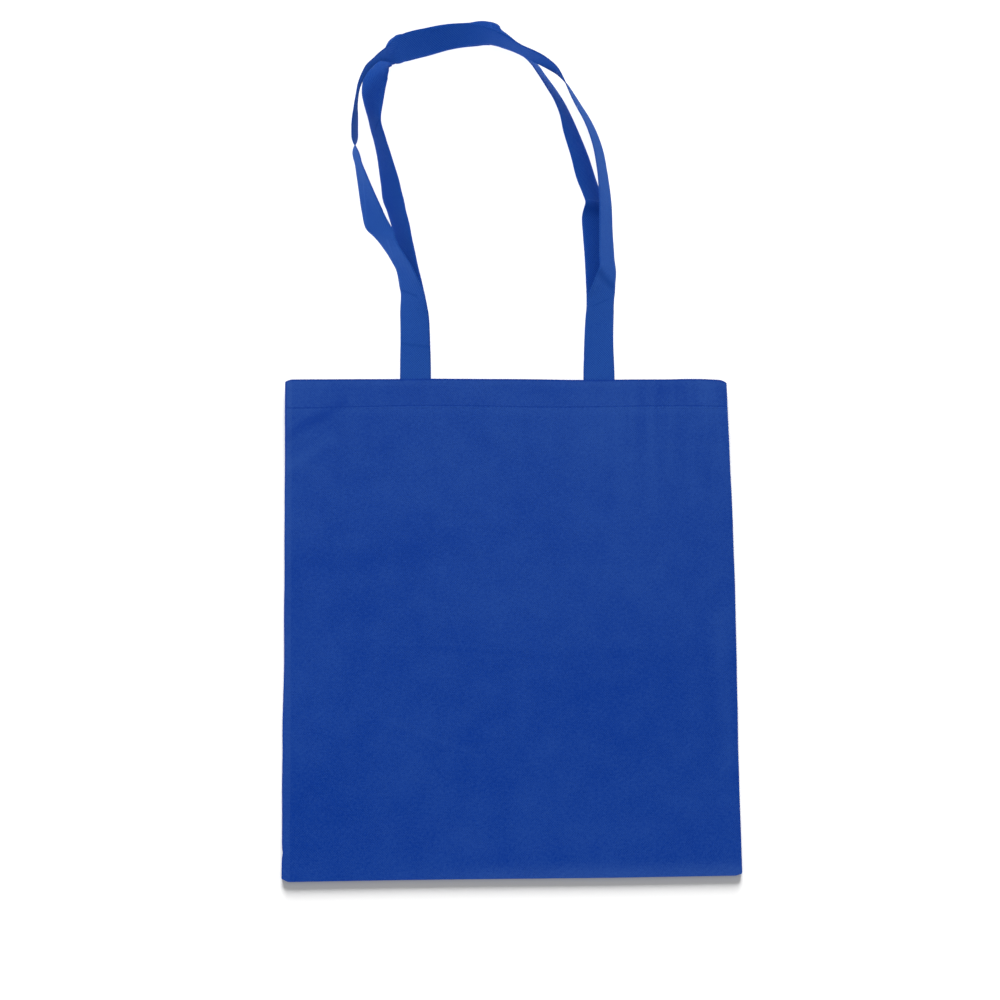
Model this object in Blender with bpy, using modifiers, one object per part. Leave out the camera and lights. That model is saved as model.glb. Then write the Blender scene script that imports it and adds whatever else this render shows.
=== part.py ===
"""Non-woven shopping bag with two long handles, lying flat on its back panel.

One sheet makes the whole bag: it is folded once at the bottom, its sides are turned in
as seam allowances, and its mouth edges are turned in as hems. Each handle is a folded
strip, sewn with both ends inside one hem.

+X is to the right, +Y runs towards the mouth and the handles, +Z is up, out of the front
panel. The origin is the middle of the back panel's resting face. Units are metres.
"""

import math

import bmesh
import bpy
import numpy as np

# Bag
BAG_WIDTH = 0.380
BAG_HEIGHT = 0.420
SHEET = 0.00045
HEM_DEPTH = 0.025
SEAM_ALLOWANCE = 0.008
LAYER_GAP = 0.0003
BOTTOM_RADIUS = 0.0022
PUFF = 0.0093
MOUTH_DROP = 0.6
BOTTOM_REACH = 0.120
BLEND = 0.030

# Handles
HANDLE_WIDTH = 0.0255
HANDLE_SHEET = 0.001
HANDLE_SPACING = 0.158
HANDLE_RISE = 0.310
HANDLE_INSET = 0.0004
HANDLE_GAP = 0.0004
FLOOR_GAP = 0.0001
FRONT_DROP = 0.060
BACK_DROP = 0.025
HANDLE_STEP = 0.009
LIFT_SPREAD = 0.018

# Stations along each handle, from its left end over the top to its right end:
# (percent of half the spacing, percent of the rise, lean in degrees). At lean 0 the strip
# lies flat, at 90 it stands on its outer edge, and at 180 it lies face down.
FRONT_STATIONS = (
    (-100, 0, 0), (-100.5, 12, 8), (-102, 23, 34), (-108.5, 29.5, 53), (-118, 34, 65),
    (-131, 39.4, 68), (-139, 42.4, 60), (-143, 45, 46), (-146.5, 48.5, 45),
    (-151.5, 52.5, 58), (-158.5, 58, 71), (-162.5, 62.5, 80), (-165, 67.5, 91),
    (-165, 74, 100), (-163, 79, 95), (-158, 84, 89), (-149, 87.6, 87), (-138, 90.1, 87),
    (-126, 91.6, 100), (-113, 93.1, 124), (-94, 94.9, 130), (-68, 96.9, 123),
    (-42, 97.5, 110), (-21, 96.8, 98), (0, 94.6, 91), (22, 91.4, 89), (42, 88.9, 88),
    (56, 86.8, 82), (66, 84.7, 75), (80, 80.2, 65), (92, 74.1, 63), (102, 66.8, 62),
    (107.5, 59, 61), (110, 50, 57), (110.5, 40, 52), (110.5, 31.5, 48), (106.5, 26, 32),
    (102, 21, 14), (100.5, 12, 6), (100, 0, 0),
)
BACK_STATIONS = (
    (-100, 0, 0), (-99.5, 12, 10), (-101, 23, 30), (-106.5, 31, 43), (-114, 40, 53),
    (-121.5, 49, 57), (-128, 57, 55), (-135, 65, 66), (-142, 72, 70), (-145, 78, 58),
    (-144.5, 84, 50), (-137, 89.5, 46), (-123, 94, 36), (-104, 97, 22), (-82, 98.6, 13),
    (-58, 99.8, 11), (-34, 100.6, 14), (-12, 100.6, 23), (5, 98.6, 34), (20, 95, 46),
    (34, 90.6, 57), (47, 85.8, 60), (65, 77.4, 58), (82, 64.6, 46), (90, 57.8, 43),
    (97, 52, 42), (99, 46, 27), (101, 40, 19), (102.5, 28, 20), (100, 10, 8),
    (100, 0, 0),
)

# Fineness of the meshes
FLAT_COLUMNS = 16
FOLD_STEPS = 4
BOTTOM_STEPS = 6
PANEL_ROWS = 15
HEM_ROWS = 2
HANDLE_COLUMNS = 2
FILL_STEPS = 5

BLUE = (0.0110, 0.0545, 0.305, 1.0)
BLUE_LIGHT = (0.0160, 0.0640, 0.325, 1.0)

# Worked out from the sizes above
LAYER = SHEET + LAYER_GAP
MOUTH = BAG_HEIGHT / 2
MOUTH_RADIUS = (LAYER + SHEET) / 2
BOTTOM_Y = BOTTOM_RADIUS - BAG_HEIGHT / 2
BOTTOM_HEIGHT = 2 * BOTTOM_RADIUS
HANDLE_DEPTH = 2 * SHEET + LAYER_GAP + HANDLE_GAP + HANDLE_SHEET / 2
HANDLE_START = MOUTH - HEM_DEPTH + HANDLE_INSET


def smooth(share):
    """0 to 1 as share goes from 0 to 1, level at both ends."""
    share = min(max(share, 0.0), 1.0)
    return share * share * (3 - 2 * share)


def fold_depth(y):
    """Depth of the side fold's middle: four layers at the hem, two below it."""
    two, four = SHEET + LAYER_GAP / 2, 2 * SHEET + 1.5 * LAYER_GAP
    below_hem = MOUTH - HEM_DEPTH - y
    return four + (two - four) * smooth(below_hem / BLEND)


def front_height(x, y):
    """Height of the front panel's outer face above the resting face."""
    edge = 4 * fold_depth(y) + LAYER_GAP
    up = y - BOTTOM_Y
    edge += (BOTTOM_HEIGHT - edge) * (1 - smooth(up / BLEND))
    across = 1 - min(1.0, abs(2 * x / BAG_WIDTH)) ** 3
    along = smooth(up / BOTTOM_REACH) * (1 - MOUTH_DROP * smooth(y / MOUTH))
    return edge + PUFF * across * along


def sheet_columns():
    """Across the sheet: (side, share of the flat width, angle of the fold, turned in)."""
    columns = [(0, 2 * k / FLAT_COLUMNS - 1, 0.0, 0.0) for k in range(FLAT_COLUMNS + 1)]
    for side in (-1, 1):
        turned = [(side, 1.0, math.pi * k / FOLD_STEPS, 0.0) for k in range(1, FOLD_STEPS + 1)]
        turned.append((side, 1.0, math.pi, SEAM_ALLOWANCE))
        columns = columns + turned if side > 0 else turned[::-1] + columns
    return columns


def sheet_rows():
    """Along the sheet, from the front hem's free edge to the back's: (place, value, depth)."""
    hem_end, fold_start = MOUTH - HEM_DEPTH, MOUTH - MOUTH_RADIUS
    flap = [(hem_end + (fold_start - hem_end) * k / HEM_ROWS, SHEET / 2 + LAYER)
            for k in range(HEM_ROWS + 1)]
    for k in range(1, FOLD_STEPS):
        turn = math.pi * k / FOLD_STEPS
        flap.append((fold_start + LAYER / 2 * math.sin(turn),
                     SHEET / 2 + LAYER / 2 * (1 + math.cos(turn))))
    step = (fold_start - hem_end) / HEM_ROWS
    panel = [(fold_start - step * k, SHEET / 2) for k in range(HEM_ROWS + 1)]
    run = hem_end - BOTTOM_Y
    panel += [(hem_end - run * k / PANEL_ROWS, SHEET / 2) for k in range(1, PANEL_ROWS + 1)]
    side = flap + panel
    bottom = [("bottom", math.pi * k / BOTTOM_STEPS, SHEET / 2) for k in range(1, BOTTOM_STEPS)]
    return ([("front", y, depth) for y, depth in side] + bottom
            + [("back", y, depth) for y, depth in reversed(side)])


def sheet_point(column, row):
    """Where one point of the sheet lies once the sheet is folded and sewn."""
    side, share, turn, turned_in = column
    place, value, depth = row
    y = BOTTOM_Y if place == "bottom" else value
    middle = fold_depth(y)
    flat = BAG_WIDTH / 2 - middle
    x = flat * share
    if side:
        x = side * (flat + (middle - depth) * math.sin(turn) - turned_in)
        depth = middle - (middle - depth) * math.cos(turn)
    if place == "front":
        return x, y, front_height(x, y) - depth
    if place == "back":
        return x, y, depth
    radius = BOTTOM_RADIUS - depth
    return x, BOTTOM_Y - radius * math.sin(value), BOTTOM_RADIUS + radius * math.cos(value)


def handle_curve(stations):
    """Points about HANDLE_STEP apart on a smooth curve through the stations."""
    points = np.array(stations, float)
    points[:, 0] *= HANDLE_SPACING / 2 / 100
    points[:, 1] = MOUTH + points[:, 1] * HANDLE_RISE / 100
    first, last = points[0].copy(), points[-1].copy()
    first[1] = last[1] = HANDLE_START
    points = np.vstack([first, points, last])
    at = np.concatenate([[0], np.cumsum(np.hypot(*np.diff(points[:, :2], axis=0).T))])
    slope = np.gradient(points, at, axis=0)
    count = max(2, round(at[-1] / HANDLE_STEP))
    here = np.linspace(0, at[-1], count + 1)
    k = np.clip(np.searchsorted(at, here, side="right") - 1, 0, len(at) - 2)
    span = (at[k + 1] - at[k])[:, None]
    t = (here - at[k])[:, None] / span
    return ((1 + 2 * t) * (1 - t) ** 2 * points[k] + t * (1 - t) ** 2 * span * slope[k]
            + t * t * (3 - 2 * t) * points[k + 1] - t * t * (1 - t) * span * slope[k + 1])


def handle_surface(stations, sewn_height, drop, columns):
    """The strip's middle surface as rows of points, down at the floor beyond the mouth."""
    curve = handle_curve(stations)
    run = np.gradient(curve[:, :2], axis=0)
    run /= np.linalg.norm(run, axis=1)[:, None]
    lean = np.radians(curve[:, 2])
    middle = HANDLE_WIDTH / 2 * np.sin(lean) + HANDLE_SHEET / 2 * np.abs(np.cos(lean))
    middle += FLOOR_GAP
    rows = []
    for (x, y, _), (along_x, along_y), angle, height in zip(curve, run, lean, middle):
        row = []
        for k in range(columns + 1):
            off = HANDLE_WIDTH * (k / columns - 0.5)
            px = x + off * math.cos(angle) * along_y
            py = y - off * math.cos(angle) * along_x
            free = 1.0 if abs(x) > HANDLE_SPACING else smooth((y - MOUTH) / drop)
            pz = height + off * math.sin(angle)
            row.append((px, py, pz + (sewn_height(px, py) - pz) * (1 - free)))
        rows.append(row)
    return np.array(rows)


def filled_in(rows, times):
    """The same strip with each gap between its points split into that many steps."""
    for _ in range(2):
        here = np.arange((len(rows) - 1) * times + 1) / times
        low = np.minimum(here.astype(int), len(rows) - 2)
        share = (here - low)[:, None, None]
        rows = (rows[low] * (1 - share) + rows[low + 1] * share).transpose(1, 0, 2)
    return rows


def lifted_over(upper, lower):
    """The upper strip's rows, raised as far as needed to lie on the lower strip."""
    clear = HANDLE_SHEET + HANDLE_GAP
    below = filled_in(lower, FILL_STEPS).reshape(-1, 3)
    fine = filled_in(upper, FILL_STEPS)
    need = np.zeros(len(fine))
    for k, row in enumerate(fine):
        far = np.linalg.norm(row[:, None, :2] - below[None, :, :2], axis=2)
        rise = np.where(far < 2 * clear, below[None, :, 2] + clear - row[:, None, 2], 0.0)
        need[k] = max(0.0, rise.max())
    reach = round(LIFT_SPREAD / HANDLE_STEP * FILL_STEPS)
    padded = np.pad(need, 2 * reach)
    highest = [padded[k:k + 2 * reach + 1].max() for k in range(len(need) + 2 * reach)]
    lift = [np.mean(highest[k:k + 2 * reach + 1]) for k in range(len(need))]
    raised = upper.copy()
    raised[:, :, 2] += np.array(lift[::FILL_STEPS])[:, None]
    return raised


def front_sewn_height(x, y):
    """Middle of the strip where it is sewn to the front hem."""
    return front_height(x, min(y, MOUTH)) - HANDLE_DEPTH


def back_sewn_height(x, y):
    """Middle of the strip where it is sewn to the back hem."""
    return HANDLE_DEPTH


def new_material(name, colour, roughness):
    material = bpy.data.materials.new(name)
    material.use_nodes = True
    shader = material.node_tree.nodes["Principled BSDF"]
    shader.inputs["Base Color"].default_value = colour
    shader.inputs["Roughness"].default_value = roughness
    shader.inputs["Metallic"].default_value = 0.0
    return material


def sheet_object(name, points, thickness, material, collection):
    """A grid moved onto rows of points, then given its thickness."""
    rows, columns = points.shape[:2]
    mesh = bpy.data.meshes.new(name)
    grid = bmesh.new()
    bmesh.ops.create_grid(grid, x_segments=columns - 1, y_segments=rows - 1, size=1.0)
    grid.verts.ensure_lookup_table()
    for vertex, point in zip(grid.verts, points.reshape(-1, 3)):
        vertex.co = point
    grid.to_mesh(mesh)
    grid.free()
    mesh.materials.append(material)
    mesh.shade_smooth()
    piece = bpy.data.objects.new(name, mesh)
    collection.objects.link(piece)
    solid = piece.modifiers.new("thickness", "SOLIDIFY")
    solid.thickness = thickness
    solid.offset = 0.0
    solid.use_even_offset = True
    return piece


def make_bag_body(collection):
    points = [[sheet_point(column, row) for column in sheet_columns()] for row in sheet_rows()]
    fabric = new_material("bag_fabric", BLUE, 0.85)
    return sheet_object("bag_body", np.array(points), SHEET, fabric, collection)


def make_handles(collection):
    webbing = new_material("handle_fabric", BLUE_LIGHT, 0.8)
    back = handle_surface(BACK_STATIONS, back_sewn_height, BACK_DROP, HANDLE_COLUMNS)
    front = handle_surface(FRONT_STATIONS, front_sewn_height, FRONT_DROP, HANDLE_COLUMNS)
    front = lifted_over(front, back)
    sheet_object("back_handle", back, HANDLE_SHEET, webbing, collection)
    sheet_object("front_handle", front, HANDLE_SHEET, webbing, collection)


def main():
    for old in list(bpy.data.objects):
        bpy.data.objects.remove(old, do_unlink=True)
    collection = bpy.data.collections.new("shopping_bag")
    bpy.context.scene.collection.children.link(collection)
    make_bag_body(collection)
    make_handles(collection)


main()
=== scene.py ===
"""Visual model of a non-woven shopping bag with two long handles, lying on its back panel.

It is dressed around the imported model, in metres: +X to the right, +Y towards the mouth and
the handles, +Z up. The floor is at height 0.
"""

import math

import bpy
import numpy as np
from bpy.props import FloatProperty, FloatVectorProperty, IntProperty, PointerProperty
from bpy.types import Operator, Panel, PropertyGroup
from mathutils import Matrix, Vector, noise


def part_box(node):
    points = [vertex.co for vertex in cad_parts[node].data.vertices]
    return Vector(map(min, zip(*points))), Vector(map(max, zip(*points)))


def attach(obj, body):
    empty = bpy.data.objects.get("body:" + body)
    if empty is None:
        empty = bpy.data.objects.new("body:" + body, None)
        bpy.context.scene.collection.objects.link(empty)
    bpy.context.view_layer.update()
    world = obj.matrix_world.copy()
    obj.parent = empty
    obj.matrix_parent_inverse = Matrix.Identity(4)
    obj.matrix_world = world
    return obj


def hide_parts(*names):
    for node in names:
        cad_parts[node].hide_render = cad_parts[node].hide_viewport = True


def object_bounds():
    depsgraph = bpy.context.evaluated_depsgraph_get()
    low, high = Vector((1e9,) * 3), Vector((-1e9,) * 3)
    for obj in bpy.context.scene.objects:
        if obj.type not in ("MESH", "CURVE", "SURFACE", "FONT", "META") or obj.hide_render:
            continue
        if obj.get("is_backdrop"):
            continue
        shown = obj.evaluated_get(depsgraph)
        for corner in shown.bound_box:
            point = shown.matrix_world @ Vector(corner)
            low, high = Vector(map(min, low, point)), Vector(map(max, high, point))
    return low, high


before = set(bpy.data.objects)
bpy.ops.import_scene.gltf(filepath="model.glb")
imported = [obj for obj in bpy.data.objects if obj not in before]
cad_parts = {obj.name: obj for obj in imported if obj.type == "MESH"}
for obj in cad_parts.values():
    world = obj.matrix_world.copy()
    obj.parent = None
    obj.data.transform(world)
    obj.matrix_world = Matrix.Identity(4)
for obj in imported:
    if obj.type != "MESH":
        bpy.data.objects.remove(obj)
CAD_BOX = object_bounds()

bl_info = {
    "name": "Non-woven Shopping Bag",
    "version": (1, 0, 0),
    "blender": (4, 5, 0),
    "location": "3D View > Sidebar > Shopping Bag",
    "description": "Builds a flat non-woven shopping bag with two long handles",
    "category": "Add Mesh",
}

BODY_LOW, BODY_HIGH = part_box("bag_body")
MM = 0.001
CLOTH_UV = "cloth"
BAG_PIECES = ("bag_fabric_body", "front_handle_strip", "back_handle_strip", "hem_stitches",
              "side_seam_stitches")

# A strip's mesh: row to row, and quads across. LIFT_SPREAD is how far from a crossing the upper
# strip rises.
HANDLE_STEP = 1.5 * MM
HANDLE_COLUMNS = 12
LIFT_SPREAD = 18 * MM

# Stations along each handle, from its left end over the top to its right end:
# (percent of half the spacing, percent of the rise, lean and skew in degrees). At lean 0 the
# strip lies flat, at 90 it stands on its outer edge, and at 180 it lies face down. The skew
# turns the folds from square across the strip, and is 0 where it isn't given.
FRONT_STATIONS = (
    (-100, 0, 0), (-100, 9, 15, -4), (-101, 18.5, 26, -12), (-103, 24, 46, -24),
    (-105.5, 26.2, 53, -25), (-111.5, 30.5, 66, -29), (-120, 34.4, 71, -28),
    (-127, 37.3, 70, -28), (-133.3, 40, 62, -32), (-138.5, 42.3, 48, -33),
    (-141.7, 44, 47, -25), (-147, 48, 54, -21), (-153, 53.2, 66, -20),
    (-157.5, 57.3, 74, -17), (-161.3, 61, 80, -18), (-164.7, 65, 82, -20), (-165.1, 68, 100, -20),
    (-165.3, 71, 101, -20), (-164.7, 75, 98, -21), (-163.3, 79, 91, -22),
    (-159.6, 83, 87, -22), (-150, 87, 84, -18), (-139.3, 89, 82, -13), (-129.3, 90, 97),
    (-120.5, 91.2, 118, 12), (-110, 93, 122, 20), (-90, 95.5, 125, 20), (-64, 97.3, 123, 13),
    (-40, 97.5, 115, 3), (-25, 96.7, 104), (-14, 95.7, 96, 5), (-2, 94.2, 93, 8),
    (15, 91.7, 86, 6), (31, 89.6, 88, 5), (45.5, 87.8, 85, 7), (58.5, 86, 78, 10),
    (67, 84, 71, 11), (79.5, 79.8, 65, 9), (93.5, 73.5, 63, 11), (103, 66.4, 62, 14),
    (107.3, 59.7, 62, 16), (110, 50.7, 59, 15), (110, 42, 57, 14), (110.3, 35, 53, 13),
    (110.7, 31, 51, 15), (107, 27, 41, 20), (103.4, 23, 25, 17), (102, 18.6, 19, 7),
    (100, 9.5, 13, 5), (100, 0, 0),
)
BACK_STATIONS = (
    (-100, 0, 0), (-100, 10, 16, -4), (-100.6, 19, 32, -11), (-102.5, 24.4, 46, -16),
    (-107.7, 31.3, 52, -17), (-112, 37.3, 53, -17), (-114.7, 42.3, 58, -17),
    (-119.8, 47.4, 58, -21), (-123.8, 51.3, 52, -19), (-126.8, 55.8, 56, -19),
    (-130.2, 60, 62, -22), (-133.3, 63.6, 67, -23), (-137.8, 68, 71, -24), (-143, 73, 70, -23),
    (-145, 79.7, 48, -16), (-144.7, 83.2, 37, -8), (-141.5, 87, 35), (-135.8, 89.3, 47, -10),
    (-129.6, 91.8, 55, -33), (-124, 94.5, 43, -46), (-120, 95.5, 25, -39), (-110, 96.7, 8, -24),
    (-87, 98.4, 3, -16), (-62.5, 99.8, 9, -14), (-36.5, 100.5, 16, -10), (-20, 101, 15, -3),
    (-13, 100.7, 20, 13), (-5.7, 99.3, 35, 19), (2, 98, 41, 15), (16, 95.5, 52, 11),
    (26.5, 93, 61, 4), (35, 90.5, 63), (42.5, 87.6, 63, 4), (51.7, 84, 61, 4), (61, 80, 60, 6),
    (67.4, 76.2, 58, 8), (74.2, 70.8, 50, 5), (83, 64, 45, 7), (90, 57.4, 42, 5),
    (95.8, 53, 44, 3), (98.4, 50.5, 45, 5), (99.2, 46, 23, 4), (100.7, 42.3, 18, 3),
    (102.2, 35.5, 18, 3), (102.8, 28.5, 20, 5), (102.8, 22, 22), (101, 10, 14, 4), (100, 0, 0),
)

# Creases of the strips, in mm: along and across at the start, the same at the end, and the reach
# to each side. The last number is the strength, below 0 where the crease is pressed in. Each is a
# small bump with a painted highlight where it stands up and painted shade where it is pressed in.
# The pressed-in one along the front strip's edge, at across 26.4, is a painted shadow.
FRONT_CREASES = (
    (165, 1, 199, 10, 1.6, 1), (199, 10, 229, 23, 1.6, 1), (101, 2, 97, 17, 2.2, -0.7),
    (693, 23, 705, 3, 6.0, -1), (722, 20, 717, 6, 1.8, -0.5), (134, 8, 152, 15, 2.0, 1),
    (44, 26.4, 84, 26.4, 1.5, -1), (55, 1, 53, 25, 2.6, -0.5),
)
BACK_CREASES = (
    (612, 24, 613, 3, 8.0, -1), (604, 24, 606, 6, 0.8, 1), (259, 25, 250, 12, 1.4, -1),
    (331, 2, 329, 22, 1.0, 1), (420, 2, 424, 20, 1.0, 1),
)
# The same on the body: up and across the panel, from its middle. These have no relief: they are
# only painted shade where pressed in and a painted highlight where they stand up.
BODY_CREASES = (
    (159, -191, 189, -140, 8, -0.9), (136, -186, 158, -152, 9, 0.7), (47, -185, 68, -50, 20, -0.35),
    (-19, -98, -25, 9, 3, -0.3), (-78, -108, -109, -29, 5, 0.4), (2, 178, -118, 182, 14, 0.8),
)
CREASE_HEIGHT = 0.12 * MM

# The hem's seam runs up and down by SEAM_DRIFT as x goes on by 2 pi times SEAM_WAVE.
SEAM_DRIFT = 0.8 * MM
SEAM_WAVE = 35 * MM
SEAM_PHASE = 1.886
SEAM_POINTS = 160
SIDE_STITCH = 1.5 * MM

# The outline's corners, left and right: reach from the edge, drop at the mouth, lift at the bottom.
LEFT_CORNERS = (7.4 * MM, 2.2 * MM, 2.4 * MM)
RIGHT_CORNERS = (9 * MM, 2.8 * MM, 1.4 * MM)
CORNER_POWER = 2.2
LIFT_REACH = 6 * MM
BOTTOM_SLOPE = 1.1 * MM
# Single swells of the outline, in mm: middle, reach and how far in. The left one is measured up
# from the bottom, the right one up from the mouth, and the dips across from the bag's middle.
LEFT_DENT = (24, 3.5, 0.8)
RIGHT_BULGE = (-165, 130, -2.1)
MOUTH_DIPS = ((65, 55, 0.75), (162, 18, -0.6))
LEFT_BULGE = 0.9 * MM
OUTLINE_WANDER = 0.30 * MM

# The panels' relief: its calm edge, the runs of its steps over layers, and its waves' lengths
# across and along.
CALM_EDGE = 0.030
SIDE_STEP_RUN, HEM_STEP_RUN = 1.6 * MM, 1.4 * MM
SOFT_WAVES = (0.095, 0.120)
SLANTED_WAVES, SLANT = (0.034, 0.110), 0.6
WRINKLES, WRINKLED_HEM = (0.011, 0.026), 0.045
PUCKERS, PUCKER_REACH = 0.006, 3.5 * MM
BACK_WAVES = (0.06, 0.07)
# A small fold at the left bottom corner.
FOLD_X, FOLD_UP, FOLD_SLOPE = -0.186, 0.0226, 0.15
FOLD_LENGTH, FOLD_WIDTH, FOLD_DEPTH = 6 * MM, 1.6 * MM, 0.5 * MM

# The cloth's noises: scale, detail and roughness.
PATCHES = (42.0, 3.0, 0.55)
BROAD_PATCHES = (9.0, 1.0)
WEAR = (60.0, 2.0, 0.6)
FIBRES = (1100.0, 3.0, 0.65)
THREADS = (900.0, 2.0, 0.6)
FLECKS = (420.0, 2.0, 0.6)
# These streaks draw wrinkles near the mouth as painted shade and highlight.
WRINKLE_STREAKS = (95.0, 2.0)
# How strongly each detail shifts the cloth's tone, from dark at -TONE_SPAN to pale at TONE_SPAN.
TONE_SPAN = 0.55
PATCH_TONE, BROAD_TONE, FLECK_TONE, GRAIN_TONE = 0.55, 0.42, 0.50, 1.90
# The body's painted shade and highlights: a shine below the mouth's rim, shade on the rims and in
# the seam, a highlight below the seam, wrinkle streaks, and the creases' ridges and dents.
PAINTED_SHINE_TONE, RIM_SHADE_TONE, SEAM_SHADE_TONE, BELOW_SEAM_HIGHLIGHT_TONE = 0.20, -0.70, -0.42, 0.13
WRINKLE_STREAK_TONE, RIDGE_HIGHLIGHT_TONE, DENT_SHADE_TONE = 0.9, 0.30, -0.36
# The colour added where more layers lie beneath and where a highlight is painted on, and the tint
# of the shine at a low angle.
LAYER_AND_HIGHLIGHT_COLOUR = (0.0230, 0.043, 0.052, 1.0)
SHEEN_TINT = (0.32, 0.82, 1.0, 1.0)

# The key light's place, aim and size. The side lights' x, y and share of their power.
KEY_LIGHT = ((0.25, 1.7, 1.6), (0, 0, 0), (2.2, 1.6))
SIDE_LIGHTS = ((-1.5, 0.5, 1.6), (1.5, 0.5, 0.65), (0.0, -1.3, 1.4))
SIDE_LIGHT_HEIGHT, SIDE_LIGHT_AIM, SIDE_LIGHT_SIZE = 0.6, (0, 0.4, 0), (1.0, 0.6)
WASH_TILT = math.radians(75)
WASH_SPREAD = math.radians(34)
FLOOR_REACH = 12.0
FLOOR_DROP = 0.15 * MM
CAMERA_PLACE = (-0.0986, -0.1091, 1.4691)
CAMERA_TURN = (8.361, -3.441, -0.727)


def number(name, description, default, **more):
    return FloatProperty(name=name, description=description, default=default, **more)


def metres(name, description, default):
    return number(name, description, default, unit="LENGTH", precision=5)


def colour(name, default):
    return FloatVectorProperty(name=name, description=f"Colour of the {name.lower()}", size=3,
                               subtype="COLOR", default=default)


class BagSizes(PropertyGroup):
    width: metres("Width", "Width of the bag lying flat", BODY_HIGH.x - BODY_LOW.x)
    height: metres("Height", "Bottom fold to mouth", BODY_HIGH.y - BODY_LOW.y)
    sheet: metres("Sheet", "Thickness of the fabric", 0.45 * MM)
    gap: metres("Layer gap", "Room between two layers that touch", 0.3 * MM)
    hem_depth: metres("Hem depth", "Depth of the mouth's turned-in hem", 25.7 * MM)
    allowance: metres("Seam allowance", "Fabric turned in at each side", 8 * MM)
    bottom_radius: metres("Bottom radius", "Radius of the bottom fold", 2.2 * MM)
    puff: metres("Puff", "Rise of the front panel's middle", 9.3 * MM)
    mouth_drop: number("Mouth drop", "Share of the puff lost at the mouth", 0.6,
                       min=0, max=1, subtype="FACTOR")
    bottom_reach: metres("Bottom reach", "Length over which the puff grows", 0.120)
    blend: metres("Blend", "Length over which edges change thickness", 0.080)
    ripple: metres("Ripple", "Height of the fabric's soft waves", 0.55 * MM)
    wrinkle: metres("Wrinkle", "Height of the fabric's small wrinkles", 0.10 * MM)
    step: metres("Step", "Step where a layer underneath ends", 0.3 * MM)


class HandleSizes(PropertyGroup):
    width: metres("Width", "Width of the folded strip", 26.4 * MM)
    thickness: metres("Thickness", "Thickness of the folded strip", 1.0 * MM)
    spacing: metres("Spacing", "Between the middles of a handle's two feet", 0.158)
    rise: metres("Rise", "Mouth to the top of the handle", 0.310)
    inset: metres("Inset", "Strip's end above the hem's free edge", 0.4 * MM)
    gap: metres("Gap", "Room between a strip and what it touches", 0.4 * MM)
    floor_gap: metres("Floor gap", "Room between a strip and the floor", 0.1 * MM)
    front_drop: metres("Front drop", "Length in which the front handle comes down", 0.060)
    back_drop: metres("Back drop", "Length in which the back handle comes down", 0.025)
    edge: metres("Edge radius", "Radius of the strip's folded edges", 0.45 * MM)


class StitchSizes(PropertyGroup):
    length: metres("Length", "Length of one stitch", 2.8 * MM)
    pitch: metres("Pitch", "From one stitch to the next", 3.9 * MM)
    thread: metres("Thread", "Thickness of the thread", 0.30 * MM)
    hem_line: metres("Hem line", "Hem seam's distance from the hem's free edge", 1.0 * MM)
    seed: IntProperty(name="Seed", description="Seed of the stitches' unevenness", default=7)


class FabricLook(PropertyGroup):
    body_colour: colour("Bag", (0.0010, 0.0525, 0.335))
    handle_colour: colour("Handles", (0.0002, 0.0610, 0.352))
    thread_colour: colour("Thread", (0.0100, 0.0780, 0.390))
    pitch: metres("Emboss pitch", "Between two rows of the fabric's bond points", 1.45 * MM)
    depth: metres("Emboss depth", "Depth of the bond points", 0.06 * MM)
    sheen: number("Sheen", "Pale shine at a low angle", 0.060, min=0, max=1, subtype="FACTOR")


class StageLook(PropertyGroup):
    lens_angle: number("Lens angle", "Camera's angle of view", math.radians(32), subtype="ANGLE")
    sky: number("Sky", "Strength of the even light", 0.40)
    key: number("Key", "Power of the wide light on the bag", 23.0, subtype="POWER")
    side: number("Side", "Power of each light beside the handles", 4.2, subtype="POWER")
    wash: number("Wash", "Strength of the light on the floor alone", 13.0)
    floor: number("Floor", "How pale the floor is", 0.80, min=0, max=1, subtype="FACTOR")
    glow: number("Glow", "White added where the camera sees the floor", 0.03)


def smooth(share):
    """0 to 1 as share goes from 0 to 1, level at both ends."""
    share = min(max(share, 0.0), 1.0)
    return share * share * (3 - 2 * share)


def bump(distance, reach):
    """1 at distance 0, falling to nothing within a few times the reach."""
    return math.exp(-(distance / reach) ** 2)


def swell(place, middle, reach, height):
    """Height of a single swell at a place. Its middle, reach and height are in mm."""
    return height * MM * bump(place - middle * MM, reach * MM)


def waves(*place):
    """Smooth noise at a place, about -1 to 1."""
    return noise.noise(Vector(place))


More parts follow.
